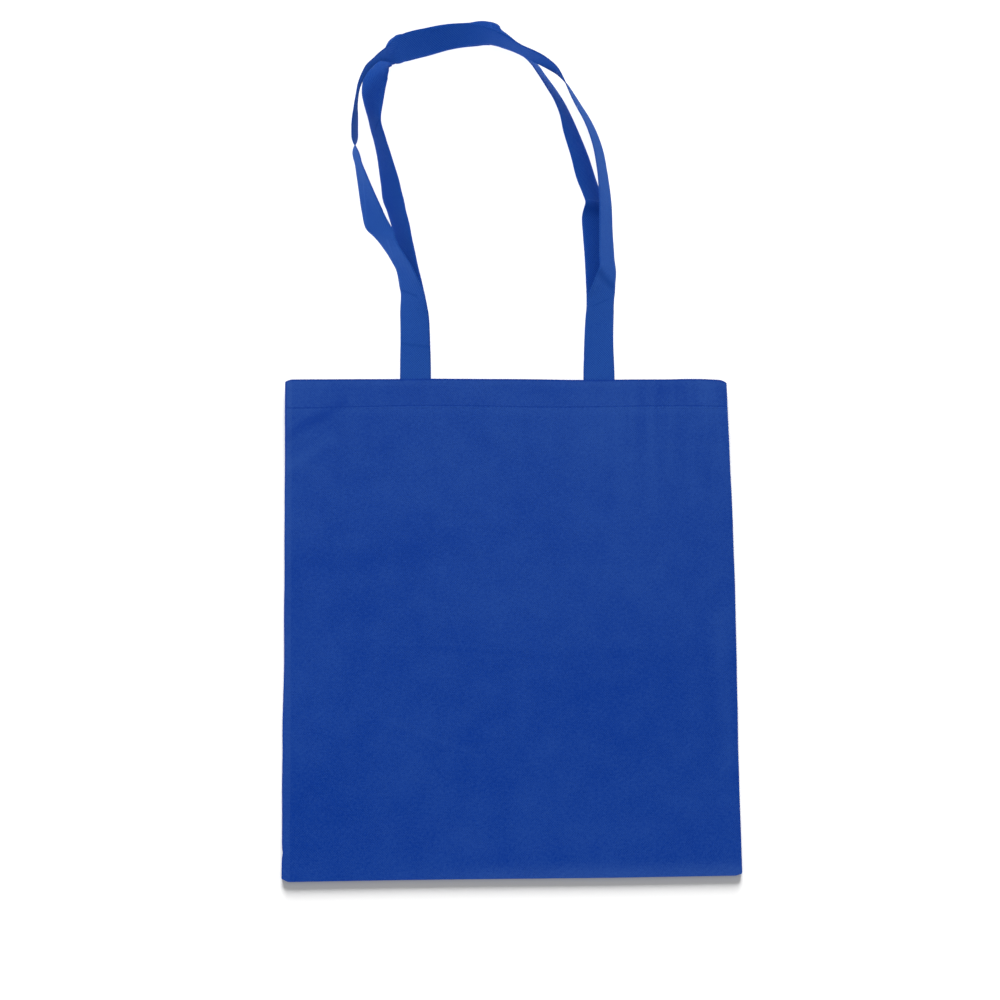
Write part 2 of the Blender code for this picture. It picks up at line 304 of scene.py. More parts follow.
class Sheet:
    """The bag's one sheet: where each point of it lies once it is folded and sewn."""

    columns_across = 84
    panel_rows = 92
    fold_steps = 6
    bottom_steps = 12

    def __init__(self, bag, stitch):
        self.bag = bag
        self.layer = bag.sheet + bag.gap
        self.mouth = BODY_HIGH.y
        self.mouth_radius = (self.layer + bag.sheet) / 2
        self.bottom_y = BODY_LOW.y + bag.bottom_radius
        self.hem_end = self.mouth - bag.hem_depth
        self.seam_y = self.hem_end + stitch.hem_line

    def seam_at(self, x):
        """How far up the hem's seam runs at x: it wanders a little."""
        return self.seam_y + SEAM_DRIFT * math.cos(x / SEAM_WAVE + SEAM_PHASE)

    def fold_depth(self, y):
        """Depth of the side fold's middle: four layers at the hem, two below it."""
        bag = self.bag
        two, four = bag.sheet + bag.gap / 2, 2 * bag.sheet + 1.5 * bag.gap
        return four + (two - four) * smooth((self.hem_end - y) / bag.blend)

    def relief(self, x, y):
        """Small changes of the front panel's height: layers beneath, seams and soft waves."""
        bag = self.bag
        inset = bag.width / 2 - abs(x)
        up = y - self.bottom_y
        off_seam = y - self.seam_at(x)
        inside = smooth(inset / CALM_EDGE) * smooth(up / CALM_EDGE)
        height = -bag.step * smooth((inset - bag.allowance) / SIDE_STEP_RUN + 0.5)
        height += bag.step * smooth((y - self.hem_end) / HEM_STEP_RUN + 0.5) * smooth(inset / 0.01)
        height -= 0.8 * bag.step * bump(off_seam, 0.6 * MM)
        height += bag.ripple * inside * waves(x / SOFT_WAVES[0], y / SOFT_WAVES[1], 3.1)
        across, along = (x + SLANT * y) / SLANTED_WAVES[0], y / SLANTED_WAVES[1]
        height += 0.35 * bag.ripple * inside * waves(across, along, 8.4)
        wrinkle = waves(x / WRINKLES[0], y / WRINKLES[1], 5.7) * smooth(inset / 0.012)
        height += bag.wrinkle * wrinkle * (0.35 + bump(y - self.hem_end, WRINKLED_HEM))
        height += 0.8 * bag.wrinkle * bump(off_seam, PUCKER_REACH) * waves(x / PUCKERS, 1.7, 0.4)
        off_fold = up - FOLD_UP - FOLD_SLOPE * (x - FOLD_X)
        height -= FOLD_DEPTH * bump(x - FOLD_X, FOLD_LENGTH) * bump(off_fold, FOLD_WIDTH)
        return height

    def front_height(self, x, y):
        """Height of the front panel's outer face above the floor."""
        bag = self.bag
        edge = 4 * self.fold_depth(y) + bag.gap
        up = y - self.bottom_y
        edge += (2 * bag.bottom_radius - edge) * (1 - smooth(up / bag.blend))
        across = 1 - min(1.0, abs(2 * x / bag.width)) ** 3
        along = smooth(up / bag.bottom_reach) * (1 - bag.mouth_drop * smooth(y / self.mouth))
        return edge + bag.puff * across * along + self.relief(x, y)

    def back_height(self, x, y):
        """Height of the back panel's outer face, which touches the floor and never dips."""
        bag = self.bag
        groove = 0.9 * bag.step * bump(y - self.seam_at(x), 0.7 * MM)
        inside = smooth((bag.width / 2 - abs(x)) / CALM_EDGE) * smooth((y - self.bottom_y) / 0.02)
        wave = waves(x / BACK_WAVES[0], y / BACK_WAVES[1], 12.2)
        return groove + 0.6 * bag.ripple * max(0.0, wave) * inside

    def columns(self):
        """Across the sheet: (side, share of the flat width, angle of the fold, turned in)."""
        count, turn_in = self.columns_across, self.bag.allowance
        columns = [(0, 2 * k / count - 1, 0.0, 0.0) for k in range(count + 1)]
        near = [(0, share, 0.0, 0.0) for share in (0.952, 0.962, 0.985, 0.994)]
        columns += near + [(0, -share, 0.0, 0.0) for _, share, _, _ in near]
        columns.sort(key=lambda column: column[1])
        for side in (-1, 1):
            turned = [(side, 1.0, math.pi * k / self.fold_steps, 0.0)
                      for k in range(1, self.fold_steps + 1)]
            turned += [(side, 1.0, math.pi, turn_in * share) for share in (0.25, 0.6, 1.0)]
            columns = columns + turned if side > 0 else turned[::-1] + columns
        return columns

    def seam_rows(self, low, high, step):
        """Heights up a panel from low to high, closer together around the hem's seam."""
        rows = list(np.arange(low, high, step))
        fine = [self.hem_end + k * 0.35 * MM for k in range(-5, 9)]
        rows = [y for y in rows if not fine[0] - step / 3 < y < fine[-1] + step / 3]
        return sorted(rows + fine)

    def rows(self):
        """Along the sheet, from the front hem's free edge to the back's: (place, value, depth)."""
        bag = self.bag
        start = self.mouth - self.mouth_radius
        step = (self.hem_end - self.bottom_y) / self.panel_rows
        panel = [y for y in self.seam_rows(self.bottom_y, start, step) if y < start - step / 4]
        flap = [(y, bag.sheet / 2 + self.layer) for y in panel + [start] if y >= self.hem_end]
        for k in range(1, 2 * self.fold_steps):
            turn = math.pi * k / (2 * self.fold_steps)
            flap.append((start + self.layer / 2 * math.sin(turn),
                         bag.sheet / 2 + self.layer / 2 * (1 + math.cos(turn))))
        side = flap + [(y, bag.sheet / 2) for y in [start] + panel[::-1]]
        bottom = [("bottom", math.pi * k / self.bottom_steps, bag.sheet / 2)
                  for k in range(1, self.bottom_steps)]
        return ([("front", y, depth) for y, depth in side] + bottom
                + [("back", y, depth) for y, depth in reversed(side)])

    def softened(self, x, y):
        """The panel's outline with dropped corners and edges that aren't ruler straight."""
        side = math.copysign(1.0, x)
        inset = self.bag.width / 2 - abs(x)
        up, down = y - BODY_LOW.y, self.mouth - y
        reach, sink, lift = RIGHT_CORNERS if x > 0 else LEFT_CORNERS
        near_mouth = smooth((y - self.hem_end) / self.bag.hem_depth)
        near_bottom = 1 - smooth(up / 0.02)
        new_y = y - sink * max(0.0, 1 - inset / reach) ** CORNER_POWER * near_mouth
        new_y += lift * (1 - smooth(inset / LIFT_REACH)) * near_bottom
        new_y -= BOTTOM_SLOPE * smooth((x + 0.11) / 0.22) * near_bottom
        inward = OUTLINE_WANDER * waves(y / 0.035, 2 * side, 0.5)
        if x < 0:
            inward += swell(up, *LEFT_DENT) - LEFT_BULGE * (1 - smooth((up - 0.12) / 0.06))
        else:
            inward += swell(-down, *RIGHT_BULGE) * smooth(down / 0.06)
        sag = sum(swell(x, *dip) for dip in MOUTH_DIPS)
        sag += OUTLINE_WANDER * (1 + waves(x / 0.045, 4.4, 1.5))
        return x - side * inward * smooth(1 - inset / 0.05), new_y - sag * near_mouth

    def point(self, column, row):
        """Where one point of the sheet lies once the sheet is folded and sewn."""
        side, share, turn, turned_in = column
        place, value, depth = row
        y = self.bottom_y if place == "bottom" else value
        middle = self.fold_depth(y)
        flat = self.bag.width / 2 - middle
        x = flat * share
        if side:
            x = side * (flat + (middle - depth) * math.sin(turn) - turned_in)
            depth = middle - (middle - depth) * math.cos(turn)
        new_x, new_y = self.softened(x, y)
        if place == "front":
            return new_x, new_y, self.front_height(x, y) - depth
        if place == "back":
            return new_x, new_y, self.back_height(x, y) + depth
        radius = self.bag.bottom_radius - depth
        dip = new_y - y
        return (new_x, self.bottom_y - radius * math.sin(value) + dip,
                self.bag.bottom_radius + radius * math.cos(value))

    def flat_place(self, columns, rows):
        """The same points before the sheet was folded, as distances across and along it."""
        points = np.array([[self.point(column, row) for column in columns] for row in rows])
        across = np.linalg.norm(np.diff(points, axis=1), axis=2)
        along = np.linalg.norm(np.diff(points, axis=0), axis=2).mean(axis=1)
        u = np.concatenate([[0], np.cumsum(across[len(rows) // 4])])
        v = np.concatenate([[0], np.cumsum(along)])
        return points, u, v


def handle_curve(handle, stations, mouth, start, step):
    """Points about a step apart on a smooth curve through the stations: x, y, lean, skew."""
    points = np.array([station + (0,) * (4 - len(station)) for station in stations], float)
    points[:, 0] *= handle.spacing / 2 / 100
    points[:, 1] = mouth + points[:, 1] * handle.rise / 100
    first, last = points[0].copy(), points[-1].copy()
    first[1] = last[1] = start
    points = np.vstack([first, points, last])
    at = np.concatenate([[0], np.cumsum(np.hypot(*np.diff(points[:, :2], axis=0).T))])
    slope = np.gradient(points, at, axis=0)
    here = np.linspace(0, at[-1], max(2, round(at[-1] / step)) + 1)
    k = np.clip(np.searchsorted(at, here, side="right") - 1, 0, len(at) - 2)
    span = (at[k + 1] - at[k])[:, None]
    t = (here - at[k])[:, None] / span
    return ((1 + 2 * t) * (1 - t) ** 2 * points[k] + t * (1 - t) ** 2 * span * slope[k]
            + t * t * (3 - 2 * t) * points[k + 1] - t * t * (1 - t) * span * slope[k + 1])


def handle_surface(handle, stations, sheet, sewn_height, drop):
    """The strip's middle surface as rows of points, down at the floor beyond the mouth."""
    start = sheet.hem_end + handle.inset
    curve = handle_curve(handle, stations, sheet.mouth, start, HANDLE_STEP)
    run = np.gradient(curve[:, :2], axis=0)
    run /= np.linalg.norm(run, axis=1)[:, None]
    lean = np.radians(curve[:, 2])
    slant = np.tan(np.radians(curve[:, 3]))
    middle = handle.width / 2 * np.sin(lean) + handle.thickness / 2 * np.abs(np.cos(lean))
    middle += handle.floor_gap
    rows = []
    for (x, y), (along_x, along_y), angle, slide, height in zip(curve[:, :2], run, lean, slant,
                                                                middle):
        row = []
        for k in range(HANDLE_COLUMNS + 1):
            off = handle.width * (k / HANDLE_COLUMNS - 0.5)
            px = x + off * (math.cos(angle) * along_y + slide * along_x)
            py = y + off * (slide * along_y - math.cos(angle) * along_x)
            free = 1.0 if abs(x) > handle.spacing else smooth((y - sheet.mouth) / drop)
            pz = height + off * math.sin(angle)
            row.append((px, py, pz + (sewn_height(px, py) - pz) * (1 - free)))
        rows.append(row)
    return np.array(rows)


def lifted_over(handle, upper, lower):
    """The upper strip's rows, raised as far as needed to lie on the lower strip."""
    clear = handle.thickness + handle.gap
    below = lower.reshape(-1, 3)
    need = np.zeros(len(upper))
    for k, row in enumerate(upper):
        far = np.linalg.norm(row[:, None, :2] - below[None, :, :2], axis=2)
        rise = np.where(far < 2 * clear, below[None, :, 2] + clear - row[:, None, 2], 0.0)
        need[k] = max(0.0, rise.max())
    reach = round(LIFT_SPREAD / HANDLE_STEP)
    padded = np.pad(need, 2 * reach)
    highest = [padded[k:k + 2 * reach + 1].max() for k in range(len(need) + 2 * reach)]
    lift = [np.mean(highest[k:k + 2 * reach + 1]) for k in range(len(need))]
    raised = upper.copy()
    raised[:, :, 2] += np.array(lift)[:, None]
    return raised


def surface_normals(points):
    """Unit normals of a grid of points."""
    down, across = np.gradient(points, axis=0), np.gradient(points, axis=1)
    normals = np.cross(across, down)
    return normals / np.linalg.norm(normals, axis=2)[:, :, None]


def linked(context, name, data):
    """A new object with its data, in the scene."""
    piece = bpy.data.objects.new(name, data)
    context.scene.collection.objects.link(piece)
    return piece


def put_in_scene(context, name, vertices, faces, uv=None, around=0.0):
    """A new object at the origin from plain lists, smooth shaded, with its cloth map.

    around is the way round a strip of quads, where the cloth map starts again.
    """
    mesh = bpy.data.meshes.new(name)
    mesh.from_pydata([tuple(vertex) for vertex in vertices], [], faces)
    mesh.shade_smooth()
    if uv is not None:
        layer = mesh.uv_layers.new(name=CLOTH_UV)
        corners = np.empty(len(mesh.loops), int)
        mesh.loops.foreach_get("vertex_index", corners)
        places = np.asarray(uv, float)[corners]
        if around:
            across = places.reshape(-1, 4, 2)[:, :, 0]
            torn = np.ptp(across, axis=1, keepdims=True) > around / 2
            across[torn & (across < around / 2)] += around
        layer.data.foreach_set("uv", places.ravel())
    return linked(context, name, mesh)


def grid_faces(rows, columns, around=False):
    """Quads of a grid whose points are listed row by row. It may close around its columns."""
    return [(r * columns + c, r * columns + (c + 1) % columns,
             (r + 1) * columns + (c + 1) % columns, (r + 1) * columns + c)
            for r in range(rows - 1) for c in range(columns if around else columns - 1)]


def apply_modifiers(context, piece):
    """Turns a piece and its modifiers into one plain mesh."""
    context.view_layer.update()
    graph = context.evaluated_depsgraph_get()
    made = bpy.data.meshes.new_from_object(piece.evaluated_get(graph), depsgraph=graph,
                                           preserve_all_data_layers=True)
    piece.modifiers.clear()
    old = piece.data
    piece.data = made
    made.name = piece.name
    bpy.data.meshes.remove(old)


def sheet_body(context, name, points, u, v, thickness):
    """A sheet of points given its thickness as one closed body."""
    uv = np.stack(np.meshgrid(u, v), axis=2).reshape(-1, 2)
    piece = put_in_scene(context, name, points.reshape(-1, 3), grid_faces(*points.shape[:2]), uv)
    solid = piece.modifiers.new("thickness", "SOLIDIFY")
    solid.thickness = thickness
    solid.offset = 0.0
    solid.use_even_offset = True
    apply_modifiers(context, piece)
    return piece


def strip_body(context, name, middle, handle):
    """A folded strip around its middle surface, with rounded edges and closed ends."""
    rows, columns = middle.shape[:2]
    normals = surface_normals(middle)
    across = np.linspace(-1, 1, columns)
    from_edge = (1 - np.abs(across)) * handle.width / 2
    half = handle.thickness / 2
    share = np.sqrt(np.clip(1 - (1 - np.clip(from_edge / handle.edge, 0, 1)) ** 2, 0, 1))
    half_here = (half * (0.30 + 0.70 * share))[None, :, None]
    upper, under = middle + normals * half_here, middle - normals * half_here
    ring = np.concatenate([upper, under[:, ::-1]], axis=1)
    count = 2 * columns
    faces = grid_faces(rows, count, around=True)
    for r, flip in ((0, True), (rows - 1, False)):
        for c in range(columns - 1):
            first, last = r * count + c, (r + 1) * count - 1 - c
            quad = (first, first + 1, last - 1, last)
            faces.append(quad[::-1] if flip else quad)
    along = np.concatenate([[0], np.cumsum(np.linalg.norm(np.diff(middle[:, columns // 2], axis=0),
                                                          axis=1))])
    u = (across + 1) * handle.width / 2
    u = np.concatenate([u, u + handle.width])
    uv = np.stack(np.meshgrid(u, along), axis=2).reshape(-1, 2)
    piece = put_in_scene(context, name, ring.reshape(-1, 3), faces, uv, 2 * handle.width)
    return piece, along[-1]


def maths(operation, swapped=False):
    """A method that joins a wire and another value in a Math node."""
    def joined(self, other):
        pair = (other, self) if swapped else (self, other)
        return self.board.maths(operation, *pair)
    return joined


class Wire:
    """A node's output in an expression: sums and products of wires add Math nodes."""

    def __init__(self, board, socket):
        self.board, self.socket = board, socket

    __add__, __radd__ = maths("ADD"), maths("ADD", swapped=True)
    __sub__, __rsub__ = maths("SUBTRACT"), maths("SUBTRACT", swapped=True)
    __mul__ = maths("MULTIPLY")
    __truediv__ = maths("DIVIDE")


class Board:
    """A node tree that is being wired."""

    def __init__(self, tree):
        self.tree = tree
        tree.nodes.clear()

    def add(self, kind, sockets=None, out=0, **settings):
        """One node: its settings first, then values or wires for its sockets."""
        node = self.tree.nodes.new(kind)
        for name, value in settings.items():
            setattr(node, name, value)
        for key, value in (sockets or {}).items():
            if isinstance(value, Wire):
                self.tree.links.new(value.socket, node.inputs[key])
            else:
                node.inputs[key].default_value = value
        return Wire(self, node.outputs[out]) if node.outputs else None

    def maths(self, operation, *values):
        return self.add("ShaderNodeMath", dict(enumerate(values)), operation=operation)

    def sine(self, wire):
        return self.maths("SINE", wire)

    def largest(self, first, second):
        return self.maths("MAXIMUM", first, second)

    def size(self, wire):
        return self.maths("ABSOLUTE", wire)

    def object_place(self):
        return self.add("ShaderNodeTexCoord", out="Object")

    def cloth_place(self):
        return self.add("ShaderNodeUVMap", uv_map=CLOTH_UV)

    def split(self, place):
        """The first two parts of a place."""
        return [self.add("ShaderNodeSeparateXYZ", {0: place}, out=part) for part in "XY"]

    def drawn_out(self, place, scale, turn=0.0):
        """A place scaled and turned, for a pattern that runs one way."""
        return self.add("ShaderNodeMapping", {"Vector": place, "Scale": scale,
                                              "Rotation": (0.0, 0.0, turn)})

    def mixed(self, share, first, second, blend="MIX"):
        """Two colours mixed by a share from 0 to 1."""
        return self.add("ShaderNodeMix", {0: share, 6: first, 7: second}, out=2,
                        data_type="RGBA", blend_type=blend)

    def bumped(self, height, strength):
        """A normal from a height in metres."""
        return self.add("ShaderNodeBump", {"Strength": strength, "Distance": 1.0, "Height": height})

    def surface(self, sockets):
        """A Principled shader with these sockets, as the material's surface."""
        shader = self.add("ShaderNodeBsdfPrincipled", sockets)
        self.add("ShaderNodeOutputMaterial", {"Surface": shader})

    def ramped(self, wire, low, high):
        """0 to 1, smoothly, as the wire goes from low to high."""
        return self.add("ShaderNodeMapRange", {"Value": wire, "From Min": low, "From Max": high},
                        interpolation_type="SMOOTHSTEP")

    def cloudy(self, place, scale, detail=2.0, roughness=0.5):
        """Noise from 0 to 1."""
        return self.add("ShaderNodeTexNoise", {"Vector": place, "Scale": scale, "Detail": detail,
                                               "Roughness": roughness})


def opaque(base, factor):
    return tuple(min(1.0, part * factor) for part in base) + (1.0,)


def new_material(name):
    """A material, and the board of its empty node tree."""
    material = bpy.data.materials.new(name)
    material.use_nodes = True
    return material, Board(material.node_tree)


def creased(board, u, v, creases):
    """Two wires from 0 to 1: on the creases that stand up, and on those that are pressed in.

    creases has rows like those of FRONT_CREASES.
    """
    found = [0.0, 0.0]
    for along, across, to_along, to_across, reach, strength in creases:
        run, rise = (to_along - along) * MM, (to_across - across) * MM
        length = math.hypot(run, rise)
        ahead = (v - along * MM) * (run / length) + (u - across * MM) * (rise / length)
        aside = (v - along * MM) * (rise / length) - (u - across * MM) * (run / length)
        beyond = board.largest(board.largest(ahead - length, 0.0 - ahead), 0.0)
        far = board.largest(board.size(aside), beyond)
        mask = (1.0 - board.ramped(far, 0.0, reach * MM)) * abs(strength)
        kind = 0 if strength > 0 else 1
        found[kind] = board.largest(found[kind], mask)
    return found


def cloth_material(name, base, look, seed, lighter, marks=0.22, shaded=None, creases=()):
    """Non-woven fabric: crossed rows of bond points, loose fibres and cloudy patches.

    lighter takes the board and gives a wire from 0 to 1 where the cloth is painted paler, over more
    layers beneath and as painted highlights, marks says how strongly the bond points show, and
    shaded gives a wire that shifts the tone, for painted shade and highlights.
    """
    material, board = new_material(name)
    cloth = board.cloth_place()
    place = board.add("ShaderNodeVectorMath", {0: cloth, 1: (seed, seed / 3, 0)}, operation="ADD")
    u, v = board.split(cloth)
    turns = math.sqrt(2) * math.pi / look.pitch
    rising, falling = board.sine((u + v) * turns), board.sine((u - v) * turns)
    patches = board.cloudy(place, *PATCHES)
    broad = board.cloudy(place, *BROAD_PATCHES)
    worn = board.ramped(board.cloudy(place, *WEAR), 0.32, 0.62)
    rows = (board.largest(rising, falling) - 0.4) * (0.45 + worn * 0.75)
    fibres = board.cloudy(board.drawn_out(place, (1.0, 0.30, 1.0), 0.5), *FIBRES)
    threads = board.cloudy(board.drawn_out(place, (0.30, 1.0, 1.0), -0.35), *THREADS)
    grain = fibres * 0.55 + threads * 0.45
    flecks = board.cloudy(place, *FLECKS)
    tone = (patches - 0.5) * PATCH_TONE + (broad - 0.5) * BROAD_TONE
    tone = tone + (flecks - 0.5) * FLECK_TONE + (grain - 0.5) * GRAIN_TONE + rows * marks
    if shaded is not None:
        tone = tone + shaded(board, u, v)
    shade = board.ramped(tone, -TONE_SPAN, TONE_SPAN)
    red, green, blue = base
    dark = (0.0, green * 0.65, blue * 0.90, 1.0)
    pale = (red + 0.0145, green * 1.35, blue * 1.08, 1.0)
    # The layer colour is added where lighter is 1: over layers beneath, and as painted highlights.
    tint = board.mixed(lighter(board), board.mixed(shade, dark, pale), LAYER_AND_HIGHLIGHT_COLOUR, "ADD")
    relief = rows * look.depth + (grain - 0.5) * (1.6 * look.depth)
    relief = relief + (patches - 0.5) * (2.0 * look.depth)
    # Creases get a small bump, a painted highlight on the ridges and painted shade in the dents.
    if creases:
        ridges, dents = creased(board, u, v, creases)
        crease_highlight = (red + 0.021, green + 0.029, blue + 0.050, 1.0)
        crease_shade = (0.0, green * 0.62, blue * 0.72, 1.0)
        tint = board.mixed(dents * 0.55, board.mixed(ridges * 0.80, tint, crease_highlight), crease_shade)
        relief = relief + (ridges - dents) * CREASE_HEIGHT
    board.surface({
        "Base Color": tint, "Roughness": 0.74 + (grain - 0.5) * 0.25 - rows * 0.05,
        "Metallic": 0.0, "Specular IOR Level": 0.05, "Sheen Weight": look.sheen,
        "Sheen Roughness": 0.45, "Sheen Tint": SHEEN_TINT, "Normal": board.bumped(relief, 0.75)})
    return material


def body_layers_and_highlights(bag):
    """Where the bag is painted paler: a band along its left side, a little over the hem, a painted
    highlight on the bottom fold that grows to the right, and a painted highlight that grows towards
    the mouth.
    """
    def lighter(board):
        x, y = board.split(board.object_place())
        inside = bag.width / 2 - bag.allowance + 1.6 * MM
        side = board.ramped(0.0 - x, inside, inside + 1.2 * MM)
        hem_end = BODY_HIGH.y - bag.hem_depth
        hem = board.ramped(y, hem_end - 0.6 * MM, hem_end + 0.6 * MM)
        # Painted highlight where light catches the rounded bottom fold, stronger to the right.
        bottom = 1.0 - board.ramped(y, BODY_LOW.y, BODY_LOW.y + 0.015)
        bottom = bottom * board.ramped(x, -0.16, 0.08)
        # Painted highlight that grows towards the mouth.
        upper = board.ramped(y, -0.16, 0.22)
        return side * 0.27 + hem * 0.04 + board.largest(upper * 0.28, bottom * 0.56)
    return lighter


def body_painted_shades(sheet, top, length, left):
    """Where the body is painted darker and paler, as painted shade and highlights: at its folds,
    the hem's seam and soft creases.

    top and left are the cloth map's places of the front mouth and the left fold, and length is
    the map's whole length.
    """
    def shaded(board, u, v):
        place = board.object_place()
        x, y = board.split(place)
        down = (length / 2 - top) - board.size(v - length / 2)
        # Painted shade on the rolled rims of the mouth and of the left fold.
        rim = 1.0 - board.ramped(board.size(down), 0.8 * MM, 1.8 * MM)
        rim = board.largest(rim, 1.0 - board.ramped(board.size(u - left), 0.6 * MM, 1.3 * MM))
        # Painted highlight in a band just below the mouth's rim.
        shine = board.ramped(down, 1.4 * MM, 2.4 * MM)
        shine = shine * (1.0 - board.ramped(down, 2.4 * MM, 9 * MM))
        drift = board.sine(x / SEAM_WAVE + (SEAM_PHASE + math.pi / 2)) * SEAM_DRIFT
        above = y - sheet.seam_y - drift
        # Painted shade in the hem seam's groove.
        seam = 1.0 - board.ramped(board.size(above - 0.35 * MM), 0.25 * MM, 0.75 * MM)
        under = 0.0 - above
        # Painted highlight on the cloth just below the seam.
        below = board.ramped(under, 0.0, 0.8 * MM) * (1.0 - board.ramped(under, 1.2 * MM, 10 * MM))
        # Streaks of painted shade and highlight along wrinkles near the mouth, stronger to the
        # right.
        drawn = board.drawn_out(place, (1.0, 0.09, 1.0))
        lines = (board.cloudy(drawn, *WRINKLE_STREAKS) - 0.5) * (1.0 - board.ramped(down, 0.03, 0.15))
        lines = lines * (0.20 + board.ramped(x, 0.05, 0.13) * 0.80)
        # The body's creases, as painted shade and highlight only.
        ridges, dents = creased(board, x, y, BODY_CREASES)
        # Painted highlights and painted shade at the rims, below the mouth and at the seam.
        folds = shine * PAINTED_SHINE_TONE + rim * RIM_SHADE_TONE + seam * SEAM_SHADE_TONE + below * BELOW_SEAM_HIGHLIGHT_TONE
        return folds + lines * WRINKLE_STREAK_TONE + ridges * RIDGE_HIGHLIGHT_TONE + dents * DENT_SHADE_TONE
    return shaded


def strap_painted_light(handle, outside):
    """Where a handle is painted paler: a painted highlight along its folded edges, and painted
    light all over its outer face.
    """
    def lighter(board):
        across = board.split(board.cloth_place())[0]
        half = handle.width / 2
        outer = 1.0 - board.ramped(across, handle.width - 0.3 * MM, handle.width + 0.3 * MM)
        # Painted highlight along the folded edges; outside is the share of painted light over the
        # outer face.
        rim = board.ramped(board.size(across - half), half - 1.3 * MM, half - 0.2 * MM)
        return board.largest(outer * outside, rim * outer * 0.30)
    return lighter


def thread_material(look):
    """Spun thread, a little paler than the cloth."""
    material, board = new_material("sewing_thread")
    twist = board.cloudy(board.object_place(), 2600.0, 2.0)
    tint = board.mixed(twist, opaque(look.thread_colour, 0.75), opaque(look.thread_colour, 1.3))
    board.surface({"Base Color": tint, "Roughness": 0.55 + twist * 0.15, "Specular IOR Level": 0.2,
                   "Normal": board.bumped(twist * (0.05 * MM), 0.5)})
    return material


def stitch_tree(material):
    """Geometry nodes that set one short thread after another along an edge line."""
    tree = bpy.data.node_groups.new("stitches along a seam", "GeometryNodeTree")
    inputs = {"Seam": "Geometry", "Length": "Float", "Pitch": "Float", "Thread": "Float",
              "Across": "Vector", "Seed": "Int"}
    for name, kind in inputs.items():
        socket = tree.interface.new_socket(name, in_out="INPUT", socket_type="NodeSocket" + kind)
        if kind == "Float":
            socket.subtype = "DISTANCE"
    tree.interface.new_socket("Stitches", in_out="OUTPUT", socket_type="NodeSocketGeometry")
    add = Board(tree).add
    given = {name: add("NodeGroupInput", out=name) for name in inputs}
    curve = add("GeometryNodeMeshToCurve", {"Mesh": given["Seam"]})
    even = add("GeometryNodeResampleCurve", {"Curve": curve, "Length": given["Pitch"]},
               mode="LENGTH")
    ball = add("GeometryNodeMeshUVSphere", {"Segments": 6, "Rings": 5, "Radius": 0.5})
    size = add("ShaderNodeCombineXYZ", {"X": given["Thread"], "Y": given["Thread"],
                                        "Z": given["Length"]})
    stitch = add("GeometryNodeTransform", {"Geometry": ball, "Scale": size})
    turned = add("FunctionNodeAlignRotationToVector", {"Vector": given["Across"]}, axis="Z")
    uneven = add("FunctionNodeRandomValue", {"Min": 0.86, "Max": 1.0, "Seed": given["Seed"]},
                 out=1, data_type="FLOAT")
    placed = add("GeometryNodeInstanceOnPoints", {"Points": even, "Instance": stitch,
                                                  "Rotation": turned, "Scale": uneven})
    real = add("GeometryNodeRealizeInstances", {"Geometry": placed})
    sewn = add("GeometryNodeSetMaterial", {"Geometry": real, "Material": material})
    add("NodeGroupOutput", {0: sewn})
    return tree


def sew(context, name, lines, tree, sizes):
    """Stitches along lines of points, as one plain mesh."""
    vertices, edges = [], []
    for line in lines:
        start = len(vertices)
        vertices += line
        edges += [(start + k, start + k + 1) for k in range(len(line) - 1)]
    mesh = bpy.data.meshes.new(name)
    mesh.from_pydata(vertices, edges, [])
    piece = linked(context, name, mesh)
    seam = piece.modifiers.new("stitches", "NODES")
    seam.node_group = tree
    for item in tree.interface.items_tree:
        if item.in_out == "INPUT" and item.name in sizes:
            seam[item.identifier] = sizes[item.name]
    apply_modifiers(context, piece)
    thread = piece.data.materials[-1]
    piece.data.materials.clear()
    piece.data.materials.append(thread)
    piece.data.shade_smooth()
    return piece


def settings(context):
    return [getattr(context.scene, name) for name in GROUP_NAMES]


class SHOPBAG_OT_body(Operator):
    """Fold the bag's one sheet: front, bottom, back, side allowances and hems"""
    bl_idname = "shopbag.body"
    bl_label = "Bag Body"

    def execute(self, context):
        bag, _, stitch, look, _ = settings(context)
        sheet = Sheet(bag, stitch)
        points, u, v = sheet.flat_place(sheet.columns(), sheet.rows())
        piece = sheet_body(context, "bag_fabric_body", points, u, v, bag.sheet)
        top = v[np.argmax(points[:len(v) // 2, points.shape[1] // 2, 1])]
        left = u[np.argmin(points[len(v) // 4, :, 0])]
        piece.data.materials.append(
            cloth_material("bag_cloth", look.body_colour, look, 1.3, body_layers_and_highlights(bag),
                           shaded=body_painted_shades(sheet, top, v[-1], left)))
        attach(piece, "root")
        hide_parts("bag_body")
        return {"FINISHED"}


class SHOPBAG_OT_handles(Operator):
    """Lay the two long handle strips as they fell beyond the mouth"""
    bl_idname = "shopbag.handles"
    bl_label = "Handles"

    def execute(self, context):
        bag, handle, stitch, look, _ = settings(context)
        sheet = Sheet(bag, stitch)
        depth = 2 * bag.sheet + bag.gap + handle.gap + handle.thickness / 2

        def front_sewn(x, y):
            return sheet.front_height(x, min(y, sheet.mouth)) - depth

        def back_sewn(x, y):
            return sheet.back_height(x, y) + depth

        back = handle_surface(handle, BACK_STATIONS, sheet, back_sewn, handle.back_drop)
        front = handle_surface(handle, FRONT_STATIONS, sheet, front_sewn, handle.front_drop)
        front = lifted_over(handle, front, back)
        # The outer face's painted light is stronger on the front strip, which lies on top, than on
        # the back strip beneath it.
        for node, middle, lies_on, seed, outside, creases in (
                ("back_handle", back, [], 4.7, 0.08, BACK_CREASES),
                ("front_handle", front, ["back_handle_strip"], 6.1, 0.28, FRONT_CREASES)):
            piece, length = strip_body(context, node + "_strip", middle, handle)
            piece.data.materials.append(
                cloth_material(node + "_cloth", look.handle_colour, look, seed,
                               strap_painted_light(handle, outside), marks=1.0, creases=creases))
            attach(piece, "root")
            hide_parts(node)
        return {"FINISHED"}


